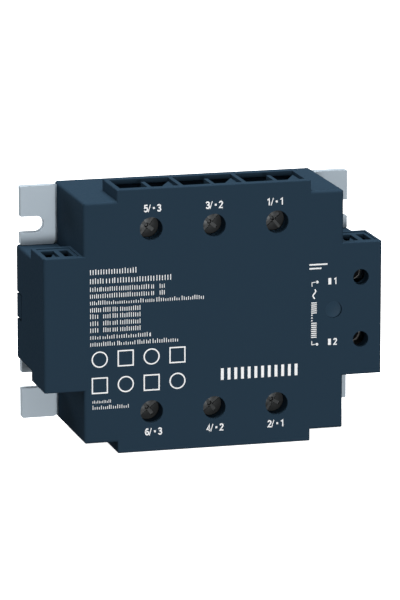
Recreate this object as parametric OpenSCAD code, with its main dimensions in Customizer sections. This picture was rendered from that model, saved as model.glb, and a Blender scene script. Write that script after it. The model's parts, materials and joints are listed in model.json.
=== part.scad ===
// Three-phase solid state relay for panel mounting.
// X runs to the right, Z up, and the front faces -Y. The base plate's rear face
// lies on the plane y = 0, and the origin is the centre of that face.
// A "depth" below is the distance in front of the panel, so depth = -y.

/* [Housing] */
// Width of the main body
body_w = 80.6; // [70:0.1:95]
// Height of the main body
body_h = 73.6; // [66:0.1:85]
// Depth of the front face in front of the panel
front_d = 36.5; // [32:0.1:45]
// Depth at which the housing's rear rim starts
rim_d = 0.3; // [0.1:0.1:1]
// Thickness of the moulded side walls
wall = 1.6; // [1:0.1:3]
// Thickness of the front wall
front_wall = 2.1; // [1.5:0.1:4]
// Radius on the body's outer edges
body_edge = 0.9; // [0.2:0.1:2]

/* [Terminal shrouds] */
// Width of the upper and lower shroud
shroud_w = 60; // [50:0.1:76]
// Overall height over both shrouds
shroud_h = 80.6; // [74:0.1:95]
// Depth at which the shrouds start
shroud_d = 18.8; // [14:0.1:26]
// Thickness of the shroud's side walls and of the walls between poles
shroud_wall = 1.3; // [0.8:0.1:2.5]
// Thickness of each terminal chamber's floor
floor_t = 1; // [0.8:0.1:2]
// Height at which the terminal chambers start inside the body
chamber_z = 21.5; // [19:0.1:26]

/* [Side wings] */
// Overall width over both wings
wing_w = 105; // [95:0.1:125]
// Height of the wings
wing_h = 41; // [30:0.1:56]
// Depth at which the wing boxes start
wing_d = 19.9; // [14:0.1:26]
// Overall width over the skirts behind the wings
skirt_w = 104.7; // [95:0.1:125]
// Height of the skirts
skirt_h = 35.5; // [26:0.1:50]
// Wall thickness of the skirts
skirt_wall = 1.45; // [1:0.05:2.5]
// Depth of the recess around each control wire entry
entry_recess = 0.3; // [0.2:0.1:3]

/* [Side latches] */
// Lower end of each latch tongue
latch_z0 = -4.5; // [-12:0.1:0]
// Upper end of each latch tongue
latch_z1 = 2.8; // [0:0.1:12]
// Length of the latch tongue from the rear rim
latch_len = 6.1; // [3:0.1:12]
// Width of the slits beside the tongue
slit = 0.6; // [0.3:0.1:1.2]

/* [Base plate] */
// Width over the mounting ears
plate_w = 103.2; // [95:0.1:125]
// Height of the base plate
plate_h = 72; // [64:0.1:84]
// Thickness of the base plate
plate_t = 3; // [2:0.1:6]
// Width of the mounting slots
slot_w = 5; // [4:0.1:7]
// Distance between the slot ends' centres across the width
slot_x = 93.6; // [85:0.1:115]
// Distance between the slots up the height
slot_z = 48.4; // [40:0.1:60]
// Half-height of the side notch that takes the skirt
notch_z = 17.95; // [14:0.05:28]

/* [Power terminals] */
// Distance between neighbouring poles
pole_x = 19.5; // [16:0.1:24]
// Height of the terminal screws above the centre
screw_z = 28; // [24:0.1:32]
// Diameter of the screwdriver access holes
access_dia = 7; // [6:0.1:8]
// Depth at which the access holes end inside
access_d = 31.7; // [29:0.1:33]
// Depth of the screw head's top
head_d = 31.6; // [28:0.1:31.6]
// Diameter of the screw head
head_dia = 7.6; // [6:0.1:8.4]
// Thickness of the screw head
head_t = 2.5; // [1.5:0.1:3.5]
// Diameter of the screw shank, over the thread
shank_dia = 3.9; // [3:0.1:5]
// Length of the screw shank
shank_len = 11; // [8:0.5:14]
// Radial running clearance of the shank in its nut and clamp
run_gap = 0.05; // [0.02:0.01:0.1]
// Turn of each power screw's slot, line row then load row
power_turns = [50, -49, -52, -62, -39, -38];

/* [Control terminals] */
// Distance of the control screws from the centre
control_x = 45.9; // [43:0.1:50]
// Height of the control screws above the centre
control_z = 9.6; // [7:0.1:13]
// Diameter of the control access holes
control_access_dia = 4.9; // [4:0.1:5.5]
// Depth at which the control access holes end inside
control_access_d = 32.2; // [29:0.1:33]
// Depth of the control screw head's top
control_head_d = 26.7; // [26:0.1:31]
// Diameter of the control screw head
control_head_dia = 5.2; // [4:0.1:5.6]
// Turn of each control screw's slot
control_turns = [15, -40];

/* [Status light] */
// Sideways position of the light's centre
light_x = 37.3; // [34:0.1:38]
// Diameter of the light's lens
light_dia = 5.2; // [3:0.1:6]
// Distance of the lens's face behind the front
light_in = 0.9; // [0.2:0.1:1.2]

/* [Hidden] */
$fn = 48;
eps = 0.02;
half_w = body_w / 2;
half_h = body_h / 2;
cav_x = half_w - wall;
cav_z = half_h - wall;
cav_d = front_d - front_wall;
wing_x = wing_w / 2;
wing_z = wing_h / 2;
skirt_x = skirt_w / 2;
skirt_z = skirt_h / 2;
shroud_x = shroud_w / 2;
shroud_z = shroud_h / 2;
chamber_d = shroud_d + floor_t;
chamber_x = (pole_x - shroud_wall) / 2;
inner_z = chamber_z - 1.2;
wing_mid = (half_w + wing_x) / 2;
plate_in = plate_t - 0.4;
wing_floor = wing_d + 1.3;
bar_t = 1.5;
bar_d = chamber_d + 0.05;
bar_top = bar_d + bar_t;
head_low = head_d - head_t;
clamp_t = 1.5;
clamp_d = head_low - 0.05 - clamp_t;
nut_t = 3;
nut_d = bar_d - nut_t;
board_d = 23;
board_t = 1.6;
board_front = board_d + board_t;
pad_d = plate_in + 0.3;
tile_t = 0.6;
chip_d = pad_d + tile_t + 0.3;
chip_t = 0.4;
pot_d = 11;
control_bar_t = 1;
control_bar_d = wing_floor + 0.05;
control_head_t = 1.8;
control_head_low = control_head_d - control_head_t;
control_clamp_t = 1;
control_clamp_d = control_head_low - 0.05 - control_clamp_t;
control_nut_t = 2.2;
control_nut_d = control_bar_d - control_nut_t;
control_shank_dia = 2.9;
control_shank_len = 7.6;

dark_blue = [0.15, 0.22, 0.28];
plate_grey = [0.66, 0.69, 0.72];
screw_grey = [0.24, 0.25, 0.26];
copper = [0.80, 0.50, 0.34];
tinned = [0.72, 0.72, 0.70];

// ---- helpers ----

// Plain block between two sideways positions, two depths and two heights
module block(x0, x1, d0, d1, z0, z1) {
  translate([x0, -d1, z0])
    cube([x1 - x0, d1 - d0, z1 - z0]);
}

// Rectangle with four round corners
module round_rect(a0, a1, b0, b1, r) {
  if (r <= 0) {
    translate([a0, b0])
      square([a1 - a0, b1 - b0]);
  } else {
    translate([a0 + r, b0])
      square([a1 - a0 - 2 * r, b1 - b0]);
    translate([a0, b0 + r])
      square([a1 - a0, b1 - b0 - 2 * r]);
    for (a = [a0 + r, a1 - r])
      for (b = [b0 + r, b1 - r])
        translate([a, b])
          circle(r = r);
  }
}

// Block with rounded edges: ry on the edges that run in depth, rz on the
// front's upright edges and rx on the front's level edges
module soft_block(x0, x1, d0, d1, z0, z1, ry, rz, rx) {
  back = 4;
  intersection() {
    translate([0, -d0, 0])
      rotate([90, 0, 0])
        linear_extrude(d1 - d0)
          round_rect(x0, x1, z0, z1, ry);
    translate([0, 0, z0 - 1])
      linear_extrude(z1 - z0 + 2)
        round_rect(x0, x1, -d1, back, rz);
    translate([x0 - 1, 0, 0])
      rotate([90, 0, 90])
        linear_extrude(x1 - x0 + 2)
          round_rect(-d1, back, z0, z1, rx);
  }
}

// Round bar along the depth
module rod(x, z, d0, d1, dia) {
  translate([x, -d0, z])
    rotate([90, 0, 0])
      cylinder(h = d1 - d0, d = dia);
}

// The three pole positions, numbered from the right
function pole(i) = (1 - i) * pole_x;

// Copies of a shape for the upper row and, mirrored, the lower row
module both_rows() {
  children();
  mirror([0, 0, 1])
    children();
}

// Copies of a shape on the right and, mirrored, on the left
module both_sides() {
  children();
  mirror([1, 0, 0])
    children();
}

// ---- base plate ----

// Outline of the plate: two pairs of ears with a notch between them on
// each side, and a tab in each notch that the side latches hook under
module plate_outline() {
  px = plate_w / 2;
  pz = plate_h / 2;
  ear_x = half_w + 0.45;
  round_rect(-ear_x - 2, ear_x + 2, -pz, pz, 0);
  for (s = [-1, 1])
    mirror([0, s > 0 ? 0 : 1])
      round_rect(-px, px, notch_z, pz, 0.35);
}

module plate_cuts() {
  px = plate_w / 2;
  both_sides()
    both_rows() {
      rod(slot_x / 2, slot_z / 2, -1, plate_t + 1, slot_w);
      block(slot_x / 2, px + 1, -1, plate_t + 1, slot_z / 2 - slot_w / 2, slot_z / 2 + slot_w / 2);
      block(half_w + 0.45, px + 1, -1, plate_t + 1, 8, notch_z);
      // the skirt's end walls stand in the corner of the notch
      block(cav_x - 0.1, px + 1, -1, plate_t + 1, skirt_z - skirt_wall - 0.15, notch_z);
    }
}

// Lowered front of the plate under the body, leaving raised pads on the ears
// with their inner corners rounded
module plate_step() {
  ex = half_w + 0.6;
  block(-ex, ex, plate_in, plate_t + 1, -half_h, half_h);
  // groove between each pad and the body's side
  both_sides()
    block(half_w + 0.05, ex, plate_t - 1.8, plate_t + 1, -half_h, half_h);
  both_sides()
    both_rows()
      for (s = [-1, 1])
        translate([0, 0, s < 0 ? notch_z : plate_h / 2])
          mirror([0, 0, s < 0 ? 0 : 1])
            difference() {
              block(ex - eps, ex + 1, plate_t - 1.8, plate_t + 1, -eps, 1);
              rod(ex + 1, 1, plate_t - 3, plate_t + 2, 2);
            }
}

module base_plate() {
  color(plate_grey)
    difference() {
      union() {
        difference() {
          rotate([90, 0, 0])
            linear_extrude(plate_t)
              plate_outline();
          plate_step();
        }
        block(-50.4, 50.4, 1.4, plate_in, -8, 8);
        block(-48.6, 48.6, 0, plate_in, -8, 8);
      }
      plate_cuts();
    }
}

// ---- housing ----

// Outer form of the body and its wings, without the terminal shrouds
module body_outer() {
  soft_block(-half_w, half_w, rim_d, front_d, -half_h, half_h, body_edge, body_edge, body_edge);
  soft_block(-wing_x, wing_x, wing_d, front_d, -wing_z, wing_z, 0.4, 0.9, 0.4);
}

// Outer form of both terminal shrouds, as one bar through the body
module shroud_outer() {
  soft_block(-shroud_x, shroud_x, shroud_d, front_d, -shroud_z, shroud_z, 0.4, 0.4, 0.4);
}

// Space inside the frame, open to the rear
module shell_cavity() {
  block(-cav_x, cav_x, -1, cav_d + 1, -cav_z, cav_z);
  // the side walls stop on the plate's front
  block(-half_w - 1, half_w + 1, -1, plate_in + 0.05, notch_z - 0.15, plate_h / 2 + 0.1);
  block(-half_w - 1, half_w + 1, -1, plate_in + 0.05, -plate_h / 2 - 0.1, 0.15 - notch_z);
  block(-half_w - 1, half_w + 1, -1, plate_in + 0.05, skirt_wall - skirt_z, skirt_z - skirt_wall);
  // inside of the skirts
  both_sides()
    block(half_w, skirt_x - skirt_wall, -1, wing_d, -skirt_z + skirt_wall, skirt_z - skirt_wall);
  // room for the status light beside the board
  block(cav_x - 1, cav_x + 2.3, board_d - 0.2, cav_d + 1, -3.2, 3.2);
}

// Shallow recess round the control wire entries at one end of a wing
module entry_recess_cut() {
  block(half_w + 0.9, wing_x - 1.1, wing_d + 1.6, cav_d - 0.4, wing_z - entry_recess, wing_z + 1);
}

// Two openings in the recess; a corner web narrows the left one
module control_entry() {
  web_z = wing_z - 1.3;
  for (c = [-wing_mid, wing_mid]) {
    block(c - 4.3, c - 0.2, 24, cav_d - 0.4, web_z, wing_z);
    translate([c, 0, wing_z - 4])
      linear_extrude(web_z - wing_z + 4.1)
        polygon([[-4.3, 0.4 - cav_d], [-4.3, -24], [-0.2, -24], [-1.7, -28], [-1.7, 0.4 - cav_d]]);
    block(c + 1.4, c + 4, 24, cav_d - 0.4, wing_z - 4, wing_z);
  }
}

module wing_room() {
  block(half_w + 1.2, wing_x - 1.2, wing_floor, cav_d + 1, 3.6, wing_z - entry_recess - 1.2);
}

// Pocket under the control bar for its nut, and the bar's way to the board
module control_pocket() {
  block(control_x - 2.9, control_x + 2.9, wing_d - 1, wing_floor + eps, control_z - 2.9, control_z + 2.9);
  block(cav_x - 1, half_w + 2, wing_floor, control_bar_d + control_bar_t + 0.1, control_z - 1.5, control_z + 1.5);
}

module latch_slits() {
  both_sides()
    for (z = [latch_z0 - slit, latch_z1])
      block(skirt_x - skirt_wall - 1, skirt_x + 1, -1, rim_d + latch_len, z, z + slit);
  both_sides()
    block(skirt_x - 0.7, skirt_x + 1, rim_d + latch_len - 0.6, rim_d + latch_len, latch_z0, latch_z1);
}

module latch_hooks() {
  both_sides()
    translate([0, 0, latch_z0])
      linear_extrude(latch_z1 - latch_z0)
        polygon([[skirt_x - 0.6, -rim_d - 0.05], [skirt_x - skirt_wall - 0.5, -rim_d - 0.05],
          [skirt_x - skirt_wall - 1.3, -1.25], [skirt_x - 0.6, -1.25]]);
}

// Frame of the housing: four body walls, both wings and both skirts
module housing() {
  color(dark_blue)
    difference() {
      union() {
        difference() {
          union() {
            intersection() {
              body_outer();
              block(-wing_x - 1, wing_x + 1, 0, cav_d, -half_h - 1, half_h + 1);
            }
            soft_block(-skirt_x, skirt_x, rim_d, wing_d + 0.4, -skirt_z, skirt_z, 0.9, 0, 0);
          }
          shell_cavity();
          // places of the two terminal blocks
          both_rows()
            block(-shroud_x, shroud_x, shroud_d, front_d, cav_z - 1, half_h + 1);
          both_rows()
            control_entry();
          both_sides()
            both_rows() {
              entry_recess_cut();
              wing_room();
            }
          both_rows()
            control_pocket();
        }
        latch_hooks();
      }
      latch_slits();
    }
}

// Front wall, with a collar round each screw's access hole and four posts
// that hold the board down
module front_cover() {
  color(dark_blue)
    difference() {
      union() {
        intersection() {
          union() {
            body_outer();
            shroud_outer();
          }
          block(-wing_x - 1, wing_x + 1, cav_d, front_d + 1, -shroud_z - 1, shroud_z + 1);
        }
        both_rows() {
          for (i = [0 : 2])
            rod(pole(i), screw_z, access_d, cav_d + 0.5, access_dia + 2.6);
          rod(control_x, control_z, control_access_d, cav_d + 0.5, control_access_dia + 2.2);
          for (x = [-29, 29])
            rod(x, 15, board_front + 0.05, cav_d + 0.5, 4);
        }
      }
      both_rows() {
        for (i = [0 : 2])
          rod(pole(i), screw_z, access_d - 1, front_d + 1, access_dia);
        rod(control_x, control_z, control_access_d - 0.5, front_d + 1, control_access_dia);
      }
      rod(light_x, 0, front_d - 1.7, front_d + 1, light_dia);
      rod(light_x, 0, cav_d - 1, front_d, 3.4);
    }
}

// ---- terminal blocks ----

// One pole's terminal chamber, open at the end of its shroud
module power_chamber(x) {
  block(x - chamber_x, x + chamber_x, chamber_d, cav_d + 1, chamber_z, shroud_z + 1);
  // screw shank and nut pass through the floor
  block(x - 3.6, x + 3.6, shroud_d - 1, chamber_d + eps, screw_z - 3.6, screw_z + 3.6);
  // the terminal bar leaves through the inner wall
  block(x - 3.1, x + 3.1, chamber_d, bar_top + 0.1, inner_z - 1, chamber_z + 1);
}

// Rib and corner web that split each pole's chamber into two wire entries
module power_guides(x) {
  block(x - 0.6, x + 0.6, 26.3, cav_d, screw_z + 6.2, shroud_z);
  translate([0, 0, shroud_z - 4])
    linear_extrude(2.9)
      polygon([[x + chamber_x + 0.5, -cav_d], [x + chamber_x - 4.9, -cav_d],
        [x + chamber_x - 3.5, -28.4], [x + chamber_x, -21.8], [x + chamber_x + 0.5, -21.8]]);
}

// Three open chambers side by side; the front cover closes them
module terminal_block() {
  difference() {
    intersection() {
      shroud_outer();
      block(-shroud_x, shroud_x, shroud_d, cav_d, inner_z, shroud_z + 1);
    }
    for (i = [0 : 2])
      power_chamber(pole(i));
  }
  // thicker rear rim at the open end
  block(-shroud_x, shroud_x, shroud_d + 0.5, shroud_d + 2.3, shroud_z - 1.4, shroud_z);
  // the ribs stand on crossbars between the chamber's walls
  for (i = [0 : 2]) {
    block(pole(i) - chamber_x - 0.3, pole(i) + chamber_x + 0.3, cav_d - 1, cav_d, screw_z + 6.2, screw_z + 7.4);
    power_guides(pole(i));
  }
}

module line_terminal_block() {
  color(dark_blue)
    terminal_block();
}

module load_terminal_block() {
  color(dark_blue)
    mirror([0, 0, 1])
      terminal_block();
}

// ---- status light ----

module status_lens() {
  color([0.20, 0.27, 0.33])
    difference() {
      union() {
        rod(light_x, 0, front_d - 1.65, front_d - light_in, light_dia - 0.1);
        rod(light_x, 0, 31.5, front_d - 1.2, 3.3);
      }
      translate([light_x, -front_d + light_in - 11.8, 0])
        sphere(r = 12);
    }
}

module status_led() {
  color([0.75, 0.95, 0.75])
    union() {
      rod(light_x, 0, board_front + 0.02, board_front + 1, 3.8);
      rod(light_x, 0, board_front + 0.8, 29.6, 3);
      translate([light_x, -29.6, 0])
        sphere(d = 3);
    }
}

// ---- control board and its parts ----

module board_holes() {
  for (i = [0 : 2]) {
    rod(pole(i) - 6.2, 12, board_d - 1, board_front + 1, 1);
    rod(pole(i) + 6.2, -12, board_d - 1, board_front + 1, 1);
  }
}

module control_board() {
  color([0.10, 0.35, 0.20])
    difference() {
      union() {
        block(-36, 36, board_d, board_front, -19, 19);
        block(35, 39.6, board_d, board_front, -2.9, 2.9);
      }
      board_holes();
    }
}

module optocouplers() {
  color([0.08, 0.08, 0.09])
    for (i = [0 : 2])
      block(pole(i) - 4.3, pole(i) + 4.3, board_front, board_front + 3.4, -3.2, 3.2);
}

module snubber_resistors() {
  color([0.55, 0.45, 0.35])
    for (i = [0 : 2])
      translate([pole(i) - 4.5, -board_front - 1.8, 6.6])
        rotate([0, 90, 0])
          cylinder(h = 9, d = 3.5);
}

module snubber_capacitors() {
  color([0.60, 0.14, 0.12])
    for (i = [0 : 2])
      soft_block(pole(i) - 4.6, pole(i) + 7.4, board_front, board_front + 8.5, 10.5, 15.5, 0.4, 0.4, 0.4);
}

module varistors() {
  color([0.12, 0.30, 0.60])
    for (i = [0 : 2])
      translate([pole(i) - 1, -board_front - 4.8, -12.5])
        cylinder(h = 4, d = 9.2);
}

module input_resistors() {
  color([0.15, 0.15, 0.17])
    for (z = [-12, -8, 8, 12])
      block(31, 34, board_front, board_front + 0.8, z - 0.9, z + 0.9);
}

module input_regulator() {
  color([0.09, 0.09, 0.10])
    block(29.4, 34.6, board_front, board_front + 2.3, -3.2, 3.2);
}

// ---- power stack ----

module ceramic_tiles() {
  color([0.93, 0.93, 0.90])
    for (i = [0 : 2])
      block(pole(i) - 8.4, pole(i) + 8.4, pad_d, pad_d + tile_t, -15, 15);
}

module copper_pads() {
  color(copper)
    for (i = [0 : 2]) {
      block(pole(i) - 7.8, pole(i) + 7.8, plate_in, pad_d, -14.5, 14.5);
      block(pole(i) - 7.5, pole(i) + 7.5, pad_d + tile_t, chip_d, 0.6, 14.5);
      block(pole(i) - 7.5, pole(i) + 7.5, pad_d + tile_t, chip_d, -14.5, -0.6);
    }
}

module thyristor_chips() {
  color([0.35, 0.36, 0.40])
    for (i = [0 : 2]) {
      block(pole(i) - 4.4, pole(i) + 4.4, chip_d, chip_d + chip_t, 1.4, 9.6);
      block(pole(i) - 4.4, pole(i) + 4.4, chip_d, chip_d + chip_t, -9.6, -1.4);
    }
}

module clip(x) {
  top = chip_d + chip_t;
  translate([x, 0, 0])
    union() {
      block(-3, 7.2, top, top + 0.7, 4, 7);
      block(4.9, 7.2, top, top + 0.7, -5, 7);
      block(4.9, 7.2, chip_d, top + 0.7, -5, -2.5);
    }
}

module cathode_clips() {
  color(copper)
    for (i = [0 : 2]) {
      clip(pole(i));
      translate([2 * pole(i), 0, 0])
        rotate([0, 180, 0])
          clip(pole(i));
    }
}

module gate_pins() {
  color(tinned)
    for (i = [0 : 2]) {
      rod(pole(i) - 6.2, 12, chip_d, board_front + 1.2, 0.8);
      rod(pole(i) + 6.2, -12, chip_d, board_front + 1.2, 0.8);
    }
}

module potting_layer() {
  color([0.13, 0.13, 0.14])
    difference() {
      block(-cav_x + 0.05, cav_x - 0.05, plate_in + 0.05, pot_d, -cav_z + 0.05, cav_z - 0.05);
      for (i = [0 : 2]) {
        block(pole(i) - 8.6, pole(i) + 8.6, 0, 5.6, -15.3, 15.3);
        both_rows()
          block(pole(i) - 3.05, pole(i) + 3.05, 0, 5.6, 12, 20);
        both_rows()
          block(pole(i) - 3.05, pole(i) + 3.05, 0, pot_d + 1, 18.4, 19.9);
        rod(pole(i) - 6.2, 12, 0, pot_d + 1, 0.9);
        rod(pole(i) + 6.2, -12, 0, pot_d + 1, 0.9);
      }
    }
}

// ---- fixed terminals ----

// One power terminal: contact plate in the chamber, neck, riser and foot
module power_bar(x) {
  difference() {
    union() {
      block(x - 7.6, x + 7.6, bar_d, bar_top, 23.2, 34);
      block(x - 3, x + 3, bar_d, bar_top, 18.5, 23.3);
      block(x - 3, x + 3, chip_d, bar_top, 18.5, 19.8);
      block(x - 3, x + 3, chip_d, chip_d + 1.2, 10.7, 19.8);
    }
    rod(x, screw_z, bar_d - 1, bar_top + 1, shank_dia + 2 * run_gap);
  }
}

module line_terminal_bars() {
  color(copper)
    for (i = [0 : 2])
      power_bar(pole(i));
}

module load_terminal_bars() {
  color(copper)
    mirror([0, 0, 1])
      for (i = [0 : 2])
        power_bar(pole(i));
}

module power_nuts() {
  color(tinned)
    both_rows()
      for (i = [0 : 2])
        difference() {
          block(pole(i) - 3.5, pole(i) + 3.5, nut_d, bar_d, screw_z - 3.5, screw_z + 3.5);
          rod(pole(i), screw_z, nut_d - 1, bar_d + 1, shank_dia + 2 * run_gap);
        }
}

module control_bar() {
  low = control_bar_d;
  top = low + control_bar_t;
  difference() {
    union() {
      block(control_x - 3.8, control_x + 4, low, top, control_z - 3.4, control_z + 5.4);
      block(33.5, control_x, low, top, control_z - 1.4, control_z + 1.4);
      block(33.5, 34.5, low, board_d, control_z - 1.4, control_z + 1.4);
    }
    rod(control_x, control_z, low - 1, top + 1, control_shank_dia + 2 * run_gap);
  }
}

module control_terminal_bars() {
  color(copper)
    both_rows()
      control_bar();
}

module control_nuts() {
  color(tinned)
    both_rows()
      difference() {
        block(control_x - 2.7, control_x + 2.7, control_nut_d, control_bar_d, control_z - 2.7, control_z + 2.7);
        rod(control_x, control_z, control_nut_d - 1, control_bar_d + 1, control_shank_dia + 2 * run_gap);
      }
}

// ---- clamps and screws ----

// Captive wire clamp: a plate with upturned ends, carried by its screw
module power_clamp(x, z) {
  color(tinned)
    difference() {
      union() {
        block(x - 8.2, x + 8.2, clamp_d, clamp_d + clamp_t, z - 5.4, z + 5.4);
        block(x - 8.2, x - 7.1, clamp_d, clamp_d + clamp_t + 1, z - 5.4, z + 5.4);
        block(x + 7.1, x + 8.2, clamp_d, clamp_d + clamp_t + 1, z - 5.4, z + 5.4);
      }
      rod(x, z, clamp_d - 1, clamp_d + clamp_t + 1, shank_dia + 2 * run_gap);
      for (s = [-2, -1, 1, 2])
        block(x - 9, x + 9, clamp_d - 0.1, clamp_d + 0.3, z + s * 1.8 - 0.25, z + s * 1.8 + 0.25);
    }
}

module control_clamp(x, z) {
  color(tinned)
    difference() {
      block(x - 3.6, x + 3.8, control_clamp_d, control_clamp_d + control_clamp_t, z - 3, z + 5);
      rod(x, z, control_clamp_d - 1, control_clamp_d + control_clamp_t + 1, control_shank_dia + 2 * run_gap);
    }
}

// Screw with a slot and a cross recess; turn is the slot's angle
module clamp_screw(x, z, top, dia, thick, shank, len, turn) {
  low = top - thick;
  dome = dia * 1.5;
  color(screw_grey)
    difference() {
      union() {
        // domed head
        intersection() {
          rod(x, z, low, top, dia);
          translate([x, dome - top, z])
            sphere(r = dome);
        }
        rod(x, z, low - len, low + 0.5, shank);
      }
      translate([x, -top, z])
        rotate([0, turn, 0]) {
          translate([-dia, -1, -dia * 0.06])
            cube([2 * dia, 1 + dia * 0.09, dia * 0.12]);
          translate([-dia * 0.07, -1, -dia * 0.34])
            cube([dia * 0.14, 1 + dia * 0.13, dia * 0.68]);
          rotate([-90, 0, 0])
            cylinder(h = dia * 0.2, d1 = dia * 0.26, d2 = dia * 0.1);
        }
    }
}

module power_screw(x, z, turn) {
  clamp_screw(x, z, head_d, head_dia, head_t, shank_dia, shank_len, turn);
}

module control_screw(x, z, turn) {
  clamp_screw(x, z, control_head_d, control_head_dia, control_head_t, control_shank_dia, control_shank_len, turn);
}

module line_clamp_1() { power_clamp(pole(0), screw_z); }
module line_clamp_2() { power_clamp(pole(1), screw_z); }
module line_clamp_3() { power_clamp(pole(2), screw_z); }
module load_clamp_1() { power_clamp(pole(0), -screw_z); }
module load_clamp_2() { power_clamp(pole(1), -screw_z); }
module load_clamp_3() { power_clamp(pole(2), -screw_z); }
module control_clamp_1() { control_clamp(control_x, control_z); }
module control_clamp_2() { mirror([0, 0, 1]) control_clamp(control_x, control_z); }
module line_screw_1() { power_screw(pole(0), screw_z, power_turns[0]); }
module line_screw_2() { power_screw(pole(1), screw_z, power_turns[1]); }
module line_screw_3() { power_screw(pole(2), screw_z, power_turns[2]); }
module load_screw_1() { power_screw(pole(0), -screw_z, power_turns[3]); }
module load_screw_2() { power_screw(pole(1), -screw_z, power_turns[4]); }
module load_screw_3() { power_screw(pole(2), -screw_z, power_turns[5]); }
module control_screw_1() { control_screw(control_x, control_z, control_turns[0]); }
module control_screw_2() { control_screw(control_x, -control_z, control_turns[1]); }

base_plate();
housing();
front_cover();
line_terminal_block();
load_terminal_block();
status_lens();
status_led();
control_board();
optocouplers();
snubber_resistors();
snubber_capacitors();
varistors();
input_resistors();
input_regulator();
ceramic_tiles();
copper_pads();
thyristor_chips();
cathode_clips();
gate_pins();
potting_layer();
line_terminal_bars();
load_terminal_bars();
control_terminal_bars();
power_nuts();
control_nuts();
line_clamp_1();
line_clamp_2();
line_clamp_3();
load_clamp_1();
load_clamp_2();
load_clamp_3();
control_clamp_1();
control_clamp_2();
line_screw_1();
line_screw_2();
line_screw_3();
load_screw_1();
load_screw_2();
load_screw_3();
control_screw_1();
control_screw_2();
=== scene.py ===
import bpy
import bmesh
import json
import math
import random
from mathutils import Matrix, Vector


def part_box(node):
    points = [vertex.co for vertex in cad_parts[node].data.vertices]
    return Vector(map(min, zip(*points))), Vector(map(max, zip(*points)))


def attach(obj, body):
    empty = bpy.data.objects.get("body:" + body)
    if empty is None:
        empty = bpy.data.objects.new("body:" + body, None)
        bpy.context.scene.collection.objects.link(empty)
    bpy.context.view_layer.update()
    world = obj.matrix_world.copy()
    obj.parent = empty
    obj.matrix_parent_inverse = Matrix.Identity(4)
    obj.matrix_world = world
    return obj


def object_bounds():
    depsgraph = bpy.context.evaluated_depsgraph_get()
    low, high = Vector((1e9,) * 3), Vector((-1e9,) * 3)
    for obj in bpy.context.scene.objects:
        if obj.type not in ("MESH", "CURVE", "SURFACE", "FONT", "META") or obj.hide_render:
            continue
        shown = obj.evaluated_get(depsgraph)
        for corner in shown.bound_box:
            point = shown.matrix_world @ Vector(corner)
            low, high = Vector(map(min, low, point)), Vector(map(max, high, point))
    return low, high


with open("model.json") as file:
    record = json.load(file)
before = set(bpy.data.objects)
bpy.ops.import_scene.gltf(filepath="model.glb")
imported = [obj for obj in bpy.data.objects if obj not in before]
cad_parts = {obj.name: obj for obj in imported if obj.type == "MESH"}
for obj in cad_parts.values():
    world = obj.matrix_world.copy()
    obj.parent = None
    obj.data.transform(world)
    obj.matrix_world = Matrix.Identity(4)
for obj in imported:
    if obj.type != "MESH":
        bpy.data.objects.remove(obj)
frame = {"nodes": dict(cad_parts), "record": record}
cad_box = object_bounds()
nodes = frame["nodes"]
rng = random.Random(7)

scene = bpy.context.scene
scene.view_settings.view_transform = "Standard"

MM = 0.001
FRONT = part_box("front_cover")[0].y      # y of the front face
WHITE = (1.0, 1.0, 1.0, 1.0)


# ---------------------------------------------------------------- materials

def srgb(r, g, b):
    """A colour given as 0 to 255 on screen, in linear light."""
    def lin(c):
        c = c / 255.0
        return c / 12.92 if c <= 0.04045 else ((c + 0.055) / 1.055) ** 2.4
    return (lin(r), lin(g), lin(b), 1.0)


def shade(c, k):
    """The colour k times as bright."""
    return (min(1, c[0] * k), min(1, c[1] * k), min(1, c[2] * k), 1.0)


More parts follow.
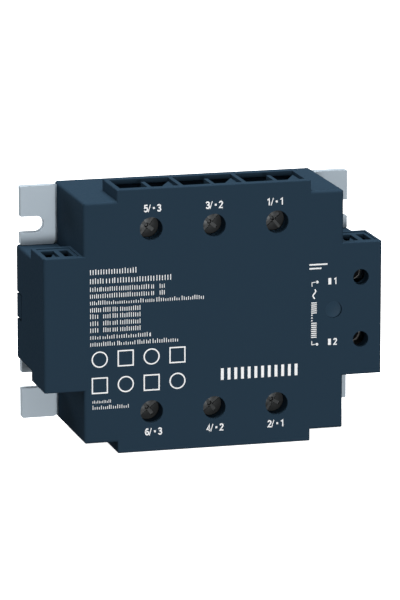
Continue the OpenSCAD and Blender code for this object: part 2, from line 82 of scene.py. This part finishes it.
class Mat:
    """A node material built on one Principled shader."""

    def __init__(self, name, rough=0.5, metallic=0.0, spec=0.5):
        self.m = bpy.data.materials.new(name)
        self.m.use_nodes = True
        self.t = self.m.node_tree
        self.p = self.t.nodes["Principled BSDF"]
        self.p.inputs["Roughness"].default_value = rough
        self.p.inputs["Metallic"].default_value = metallic
        self.p.inputs["Specular IOR Level"].default_value = spec
        self.tc = self.t.nodes.new("ShaderNodeTexCoord")
        self.last_normal = None

    def link(self, a, b):
        self.t.links.new(a, b)

    def coords(self, stretch=(1, 1, 1)):
        mapping = self.t.nodes.new("ShaderNodeMapping")
        mapping.inputs["Scale"].default_value = stretch
        self.link(self.tc.outputs["Object"], mapping.inputs["Vector"])
        return mapping.outputs["Vector"]

    def noise(self, scale, detail=4, stretch=(1, 1, 1)):
        n = self.t.nodes.new("ShaderNodeTexNoise")
        n.inputs["Scale"].default_value = scale
        n.inputs["Detail"].default_value = detail
        n.inputs["Roughness"].default_value = 0.55
        self.link(self.coords(stretch), n.inputs["Vector"])
        return n.outputs["Fac"]

    def voronoi(self, scale):
        v = self.t.nodes.new("ShaderNodeTexVoronoi")
        v.inputs["Scale"].default_value = scale
        self.link(self.coords(), v.inputs["Vector"])
        return v.outputs["Distance"]

    def colour(self, fac, low, high):
        """Colour that runs between two (position, colour) stops."""
        r = self.t.nodes.new("ShaderNodeValToRGB")
        for stop, (place, col) in zip(r.color_ramp.elements, (low, high)):
            stop.position = place
            stop.color = col
        self.link(fac, r.inputs["Fac"])
        self.link(r.outputs["Color"], self.p.inputs["Base Color"])

    def roughness(self, fac, low, high):
        spread = self.t.nodes.new("ShaderNodeMapRange")
        spread.inputs["From Min"].default_value = 0.3
        spread.inputs["From Max"].default_value = 0.7
        spread.inputs["To Min"].default_value = low
        spread.inputs["To Max"].default_value = high
        self.link(fac, spread.inputs["Value"])
        self.link(spread.outputs["Result"], self.p.inputs["Roughness"])

    def bump(self, fac, strength, distance):
        b = self.t.nodes.new("ShaderNodeBump")
        b.inputs["Strength"].default_value = strength
        b.inputs["Distance"].default_value = distance
        self.link(fac, b.inputs["Height"])
        if self.last_normal is not None:
            self.link(self.last_normal, b.inputs["Normal"])
        self.last_normal = b.outputs["Normal"]
        self.link(self.last_normal, self.p.inputs["Normal"])


def moulded(name, col, rough=0.5, spec=0.25, grain=1500, strength=0.12, vary=0.04):
    """Moulded plastic: fine grain, a trace of flow mottling, soft sheen."""
    m = Mat(name, rough, 0.0, spec)
    m.colour(m.noise(28, 3), (0.30, shade(col, 1 - vary)), (0.70, shade(col, 1 + vary)))
    fine = m.noise(grain, 3)
    m.roughness(fine, rough - 0.07, rough + 0.07)
    m.bump(fine, strength, 0.00004)
    m.bump(m.voronoi(grain * 1.4), strength * 0.5, 0.00003)
    return m.m


def metal(name, col, rough=0.35, stretch=(1, 1, 1), scale=500, vary=0.06, strength=0.1,
          metallic=1.0, spec=0.5):
    """Metal: fine scratches, which stretch gives a direction, cloudy tone and uneven gloss."""
    m = Mat(name, rough, metallic, spec)
    m.colour(m.noise(60, 5), (0.3, shade(col, 1 - vary)), (0.7, shade(col, 1 + vary)))
    scratches = m.noise(scale, 4, stretch)
    m.roughness(scratches, rough - 0.08, rough + 0.10)
    m.bump(scratches, strength, 0.00002)
    return m.m


def circuit_board():
    m = Mat("circuit_board", 0.35, 0.0, 0.4)
    weave = m.noise(700, 2, (1, 1, 5))
    m.colour(weave, (0.35, srgb(20, 72, 44)), (0.65, srgb(28, 88, 54)))
    m.bump(weave, 0.1, 0.00002)
    return m.m


def white_ink():
    m = Mat("white_ink", 0.6, 0.0, 0.2)
    m.colour(m.noise(900, 3), (0.3, (0.93, 0.95, 0.97, 1)), (0.7, (0.99, 0.99, 0.99, 1)))
    m.bump(m.noise(2500, 2), 0.05, 0.00001)
    return m.m


# One finish for each material slot of the record
FINISHES = {
    "housing": moulded("housing_plastic", srgb(40, 58, 73), rough=0.55, spec=0.004, vary=0.008,
                       strength=0.08),
    "lens": moulded("smoked_lens", srgb(45, 66, 83), rough=0.45, spec=0.05, grain=400,
                    strength=0.01, vary=0.02),
    "plate": metal("plate_metal", srgb(167, 180, 190), rough=0.45, scale=900, vary=0.02,
                   strength=0.06, metallic=0.0, spec=0.4),
    "screw": metal("dark_screw", srgb(60, 62, 63), rough=0.42, scale=260, vary=0.10,
                   strength=0.02, metallic=0.6, spec=0.4),
    "tinned": metal("tinned_metal", srgb(190, 190, 186), rough=0.34, stretch=(1, 6, 1), vary=0.05),
    "copper": metal("copper_metal", srgb(196, 128, 92), rough=0.3, stretch=(1, 1, 6), vary=0.08),
    "ceramic": moulded("sintered_ceramic", srgb(236, 236, 228), rough=0.6, spec=0.3, grain=900,
                       vary=0.02),
    "silicon": metal("passivated_silicon", srgb(92, 94, 108), rough=0.18, scale=300, vary=0.05,
                     metallic=0.6),
    "potting": moulded("cast_resin", srgb(36, 36, 39), rough=0.3, spec=0.4, grain=120,
                       strength=0.06, vary=0.10),
    "black_mould": moulded("package_plastic", srgb(26, 26, 28), rough=0.55, spec=0.3, grain=1200,
                           vary=0.05),
    "resistor_body": moulded("resistor_lacquer", srgb(160, 136, 108), rough=0.35, spec=0.4,
                             grain=500, vary=0.06),
    "film_box": moulded("capacitor_case", srgb(160, 52, 44), rough=0.4, spec=0.4, grain=800,
                        vary=0.04),
    "varistor_coat": moulded("varistor_coating", srgb(38, 76, 140), rough=0.4, spec=0.4,
                             grain=260, strength=0.3, vary=0.08),
    "led": moulded("diffused_led", srgb(190, 226, 190), rough=0.3, spec=0.5, grain=300,
                   vary=0.03),
    "board": circuit_board(),
}

# The control screws stand deep in narrow holes; their material is painted near black, darker than the
# power screws, as painted shade for those holes
SCREW_PAINTED_SHADE = metal("screw_painted_shade", srgb(16, 16, 17), rough=0.8, scale=260, vary=0.10,
                    strength=0.02, metallic=0.0, spec=0.03)
INK = white_ink()


def paint_nodes():
    slot_of = {s["node"]: s["material_slot"] for s in frame["record"]["subparts"]}
    for name, o in nodes.items():
        # the control screws take the screw material with painted shade
        finish = SCREW_PAINTED_SHADE if name.startswith("control_screw") else FINISHES[slot_of[name]]
        o.data.materials.clear()
        o.data.materials.append(finish)


def soften_plate_edges():
    """The small rounding of stamped edges."""
    bevel = nodes["base_plate"].modifiers.new("edge", "BEVEL")
    bevel.width = 0.22 * MM
    bevel.segments = 2
    bevel.limit_method = "ANGLE"
    bevel.angle_limit = math.radians(40)
    bevel.harden_normals = False


# ---------------------------------------------------------------- printing on the front

INK_T = 0.02 * MM                       # thickness of the printed ink
INK_BACK = FRONT + 0.5 * INK_T          # just inside the moulding
INK_FACE = FRONT - INK_T


def circle(x, z, r, n):
    """n points round a circle."""
    turns = [2 * math.pi * i / n for i in range(n)]
    return [(x + r * math.cos(t), z + r * math.sin(t)) for t in turns]


def square(x, z, half):
    """The corners of a square round (x, z)."""
    return [(x - half, z - half), (x + half, z - half), (x + half, z + half), (x - half, z + half)]


class Print:
    """Flat closed shapes in one mesh, given in millimetres on the front face."""

    def __init__(self, name):
        self.name = name
        self.bm = bmesh.new()

    def point(self, x, z, y):
        return self.bm.verts.new((x * MM, y, z * MM))

    def prism(self, outline):
        after = outline[1:] + outline[:1]
        area = sum(a[0] * b[1] - b[0] * a[1] for a, b in zip(outline, after))
        if area < 0:
            outline = outline[::-1]
        back = [self.point(x, z, INK_BACK) for x, z in outline]
        front = [self.point(x, z, INK_FACE) for x, z in outline]
        self.bm.faces.new(front)
        self.bm.faces.new(back[::-1])
        n = len(outline)
        for i in range(n):
            j = (i + 1) % n
            self.bm.faces.new((front[j], front[i], back[i], back[j]))

    def bar(self, x0, x1, z0, z1):
        self.prism([(x0, z0), (x1, z0), (x1, z1), (x0, z1)])

    def ribbon(self, pts, w, closed=False):
        """A line of even width with mitred corners."""
        pts = [Vector(p) for p in pts]
        n = len(pts)
        rows = []
        for i in range(n):
            before = pts[i - 1] if (i > 0 or closed) else None
            after = pts[(i + 1) % n] if (i < n - 1 or closed) else None
            d0 = (pts[i] - before).normalized() if before is not None else None
            d1 = (after - pts[i]).normalized() if after is not None else None
            d0 = d0 or d1
            d1 = d1 or d0
            n0 = Vector((-d0.y, d0.x))
            n1 = Vector((-d1.y, d1.x))
            mid = (n0 + n1).normalized()
            mitre = min(1.6, 1.0 / max(0.35, mid.dot(n0)))
            left = pts[i] + mid * (w / 2 * mitre)
            right = pts[i] - mid * (w / 2 * mitre)
            rows.append((self.point(left.x, left.y, INK_FACE), self.point(right.x, right.y, INK_FACE),
                         self.point(right.x, right.y, INK_BACK), self.point(left.x, left.y, INK_BACK)))
        for i in range(n if closed else n - 1):
            a, b = rows[i], rows[(i + 1) % n]
            for k in range(4):
                self.bm.faces.new((a[k], a[(k + 1) % 4], b[(k + 1) % 4], b[k]))
        if not closed:
            self.bm.faces.new(rows[0][::-1])
            self.bm.faces.new(rows[-1])

    def strokes(self, x, z, width, height, lowest, highest):
        """A word as plain upright bars of random height, with no letter in it."""
        stroke = 0.15 * height
        count = max(1, int((width - stroke) / (0.47 * height) + 0.5))
        pitch = (width - stroke) / count
        for i in range(count + 1):
            tall = rng.uniform(lowest, highest)
            self.bar(x + i * pitch, x + i * pitch + stroke, z, z + height * tall)

    def done(self):
        bmesh.ops.recalc_face_normals(self.bm, faces=self.bm.faces)
        me = bpy.data.meshes.new(self.name)
        self.bm.to_mesh(me)
        self.bm.free()
        me.materials.append(INK)
        o = bpy.data.objects.new(self.name, me)
        scene.collection.objects.link(o)
        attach(o, "relay")


# Each numeral is one stroke, in a box 0.6 wide and 1 high
DIGITS = {
    1: [[(0.10, 0.76), (0.36, 0.97), (0.36, 0.0)]],
    2: [[(0.06, 0.76), (0.16, 0.93), (0.32, 0.97), (0.48, 0.88), (0.52, 0.70), (0.42, 0.50),
         (0.08, 0.05), (0.58, 0.05)]],
    3: [[(0.06, 0.80), (0.18, 0.95), (0.36, 0.96), (0.49, 0.84), (0.46, 0.62), (0.26, 0.53),
         (0.48, 0.44), (0.54, 0.24), (0.40, 0.05), (0.20, 0.04), (0.05, 0.19)]],
    4: [[(0.58, 0.28), (0.05, 0.28), (0.42, 0.95), (0.42, 0.0)]],
    5: [[(0.54, 0.95), (0.14, 0.95), (0.10, 0.54), (0.30, 0.62), (0.48, 0.54), (0.54, 0.33),
         (0.42, 0.08), (0.22, 0.04), (0.05, 0.17)]],
    6: [[(0.50, 0.86), (0.32, 0.96), (0.14, 0.80), (0.07, 0.42), (0.14, 0.12), (0.32, 0.04),
         (0.48, 0.14), (0.54, 0.33), (0.45, 0.52), (0.28, 0.56), (0.10, 0.44)]],
}


def numeral(pr, digit, x, z, height, w):
    for line in DIGITS[digit]:
        pr.ribbon([(x + a * height, z + b * height) for a, b in line], w)


# Baseline of each row of terminal marks, then (terminal, pole, x of the mark)
TERMINAL_ROWS = (
    (33.2, ((5, 3, -19.0), (3, 2, 0.05), (1, 1, 19.0))),
    (-35.2, ((6, 3, -18.85), (4, 2, 0.3), (2, 1, 19.4))),
)


def terminal_marks():
    """At each power terminal its numeral, a stroke, a small block and the pole's numeral."""
    height, line = 2.05, 0.40
    lean, overrun, slash_line = 0.7, 0.1, 0.25
    block = 0.6
    for z, marks in TERMINAL_ROWS:
        for terminal, pole, x in marks:
            pr = Print("terminal_mark_%d" % terminal)
            slash = x - 1.45
            low = z + 0.75
            numeral(pr, terminal, x - 2.75, z, height, line)
            pr.ribbon([(slash, z - overrun), (slash + lean, z + height + overrun)], slash_line)
            pr.bar(x, x + block, low, low + block)
            numeral(pr, pole, x + 1.3, z, height, line)
            pr.done()


LINES_X = -38.35        # left edge of the printed lines
EVEN = (0.78, 1.0)      # lowest and highest bar, as shares of the line's height
MIXED = (0.5, 0.95)

# Words of the rows that repeat, as (start, end) from the left edge
VALUES = ((0.0, 2.4), (4.0, 6.2), (6.9, 8.4), (9.2, 15.4))
RATINGS = ((2.4, 8.3), (8.9, 12.4), (12.9, 18.1), (18.8, 19.6), (21.4, 22.9))

# Lines of plain strokes: baseline, height, bar heights and words
LINES = (
    (14.95, 1.75, EVEN, ((0.0, 14.2),)),
    (12.16, 1.75, EVEN, ((0.0, 4.1), (4.9, 6.1), (6.8, 7.7), (8.4, 19.7), (20.4, 24.9))),
    (9.79, 1.45, EVEN, ((0.0, 3.1), (3.3, 8.3)) + RATINGS[1:]),
    (7.75, 1.45, EVEN, ((0.0, 2.1),) + RATINGS),
    (5.74, 1.45, MIXED, ((0.0, 2.7), (3.1, 10.6), (11.1, 16.4), (17.0, 19.7), (20.4, 27.5),
                         (28.2, 35.0))),
    (3.51, 1.45, EVEN, ((0.0, 3.3),) + VALUES[1:]),
    (1.53, 1.45, EVEN, VALUES),
    (-0.60, 1.45, EVEN, VALUES),
    (-2.67, 1.45, EVEN, VALUES),
    (-4.77, 1.45, MIXED, ((0.0, 3.1), (3.8, 7.4), (8.1, 10.5), (11.0, 14.1), (14.7, 17.6),
                          (18.2, 18.6))),
    (-6.91, 1.45, MIXED, ((0.0, 7.5), (8.3, 9.6), (10.2, 13.8), (14.5, 16.6), (17.2, 18.5),
                          (19.2, 27.0))),
    (-24.4, 1.10, MIXED, ((0.6, 6.2),)),
    (-26.3, 1.35, MIXED, ((0.6, 4.7), (5.1, 6.4), (6.9, 11.7))),
)


def data_lines():
    pr = Print("printed_lines")
    for z, height, (lowest, highest), words in LINES:
        for start, end in words:
            pr.strokes(LINES_X + start, z, end - start, height, lowest, highest)
    pr.done()


def plain_marks():
    """Two rows of the same plain ring and frame, by turns."""
    pr = Print("printed_marks")
    radius, line, pitch = 2.3, 0.4, 8.0
    left, top = -35.5, -11.0
    for row in range(2):
        for i in range(4):
            x, z = left + i * pitch, top - row * pitch
            is_ring = (i + row) % 2 == 0
            pr.ribbon(circle(x, z, radius, 40) if is_ring else square(x, z, radius), line, True)
    pr.done()


def plain_badge():
    """One row of equal upright bars."""
    pr = Print("printed_badge")
    width, height, pitch = 0.9, 3.6, 2.1
    left, low = 2.0, -19.6
    for i in range(12):
        x = left + i * pitch
        pr.bar(x, x + width, low, low + height)
    pr.done()


def control_numerals(pr):
    """A block and a numeral beside each control screw."""
    height, line = 1.95, 0.38
    for digit, z in ((1, 7.9), (2, -10.85)):
        pr.bar(35.6, 36.5, z, z + height)
        numeral(pr, digit, 37.25, z, height, line)


def control_bracket(pr):
    """Two hooks with dots, a wave and a ladder of short bars between them."""
    x, hook_line = 30.45, 0.22
    for start, corner, end, dot_z in ((7.5, 8.75, 8.85, 8.85), (-9.3, -10.45, -10.4, -10.4)):
        pr.ribbon([(x, start), (x, corner), (31.9, end)], hook_line)
        pr.prism(circle(32.1, dot_z, 0.42, 24))
    steps, swing, top, drop = 12, 0.42, 6.6, 2.9
    shares = [i / steps for i in range(steps + 1)]
    pr.ribbon([(31.2 + swing * math.sin(2 * math.pi * t + 0.4), top - drop * t) for t in shares], 0.40)
    z, left = 2.6, 30.25
    while z > -8.4:
        if -3.4 < z < -0.9:
            pr.bar(left, left + 0.4, z - 0.4, z)
            z -= 0.85
        else:
            pr.bar(left, left + 1.7, z - 0.32, z)
            z -= 0.62


def control_marks():
    pr = Print("control_marks")
    pr.bar(29.6, 35.3, 14.0, 14.45)
    pr.bar(29.6, 33.4, 12.8, 13.25)
    control_numerals(pr)
    control_bracket(pr)
    pr.done()


# ---------------------------------------------------------------- floor, lights, camera

FLOOR_Z = cad_box[0][2] - 0.1 * MM      # a hair under the lowest point
FLOOR_HALF = 6.0
AIM = (0.0, -0.02, 0.0)                 # the middle of the relay's depth
AMBIENT, SEEN = 0.19, 1.05              # the surround that lights, and the one the camera sees
TOP_W, KEY_W, RIM_W, FILL_W = 27.5, 17.2, 10.5, 6.0


def floor():
    """A lit table, so that it stays white under the object as well."""
    m = Mat("studio_floor", 0.9, 0.0, 0.05)
    m.colour(m.noise(3, 2), (0.4, (0.93, 0.93, 0.93, 1)), (0.6, (0.95, 0.95, 0.95, 1)))
    m.p.inputs["Emission Color"].default_value = WHITE
    m.p.inputs["Emission Strength"].default_value = 1.0
    me = bpy.data.meshes.new("studio_floor")
    bm = bmesh.new()
    bm.faces.new([bm.verts.new((x, y, 0)) for x, y in square(0, 0, FLOOR_HALF)])
    bm.to_mesh(me)
    bm.free()
    o = bpy.data.objects.new("studio_floor", me)
    o.location = (0, 0, FLOOR_Z)
    o.data.materials.append(m.m)
    scene.collection.objects.link(o)
    o.visible_diffuse = False
    o.visible_glossy = False


def surround():
    """The camera sees a plain white surround; the object is lit by a dimmer one."""
    world = bpy.data.worlds.new("studio")
    scene.world = world
    world.use_nodes = True
    tree = world.node_tree
    lit = tree.nodes["Background"]
    seen = tree.nodes.new("ShaderNodeBackground")
    for node, strength in ((lit, AMBIENT), (seen, SEEN)):
        node.inputs["Color"].default_value = WHITE
        node.inputs["Strength"].default_value = strength
    ray = tree.nodes.new("ShaderNodeLightPath")
    mix = tree.nodes.new("ShaderNodeMixShader")
    tree.links.new(ray.outputs["Is Camera Ray"], mix.inputs["Fac"])
    tree.links.new(lit.outputs["Background"], mix.inputs[1])
    tree.links.new(seen.outputs["Background"], mix.inputs[2])
    tree.links.new(mix.outputs["Shader"], tree.nodes["World Output"].inputs["Surface"])


def area(name, loc, target, size, energy, size_y=None):
    light = bpy.data.lights.new(name, "AREA")
    light.energy = energy
    light.size = size
    if size_y:
        light.shape = "RECTANGLE"
        light.size_y = size_y
    o = bpy.data.objects.new(name, light)
    o.location = loc
    o.rotation_mode = "QUATERNION"
    o.rotation_quaternion = (Vector(target) - Vector(loc)).to_track_quat("-Z", "Y")
    scene.collection.objects.link(o)
    return o


def lights():
    area("top_softbox", (0.0, 0.02, 1.3), AIM, 1.0, TOP_W)
    area("key_softbox", (-0.06, -1.5, 0.04), AIM, 0.16, KEY_W, size_y=0.3)
    rim = area("rim_softbox", (-0.60, 1.27, 0.15), AIM, 0.5, RIM_W)
    rim.visible_glossy = False
    # a fill from the left that lights only the metal plate, for its cut edges
    fill = area("plate_fill", (-1.3, -0.25, 0.25), (-0.045, 0, 0), 0.5, FILL_W)
    plate_only = bpy.data.collections.new("plate_only")
    plate_only.objects.link(nodes["base_plate"])
    fill.light_linking.receiver_collection = plate_only


def camera():
    azimuth, elevation, distance = math.radians(-15.191), math.radians(12.496), 1.3978
    target = Vector((-0.00002, -0.020, 0.00163))
    data = bpy.data.cameras.new("camera")
    data.sensor_width = 36.0
    data.lens = 276.7
    data.clip_start = 0.05
    data.clip_end = 50
    back = Vector((math.sin(azimuth) * math.cos(elevation),
                   -math.cos(azimuth) * math.cos(elevation),
                   math.sin(elevation)))
    cam = bpy.data.objects.new("camera", data)
    cam.location = target + back * distance
    cam.rotation_mode = "QUATERNION"
    cam.rotation_quaternion = (-back).to_track_quat("-Z", "Y")
    scene.collection.objects.link(cam)
    scene.camera = cam


paint_nodes()
soften_plate_edges()
terminal_marks()
data_lines()
plain_marks()
plain_badge()
control_marks()
floor()
surround()
lights()
camera()
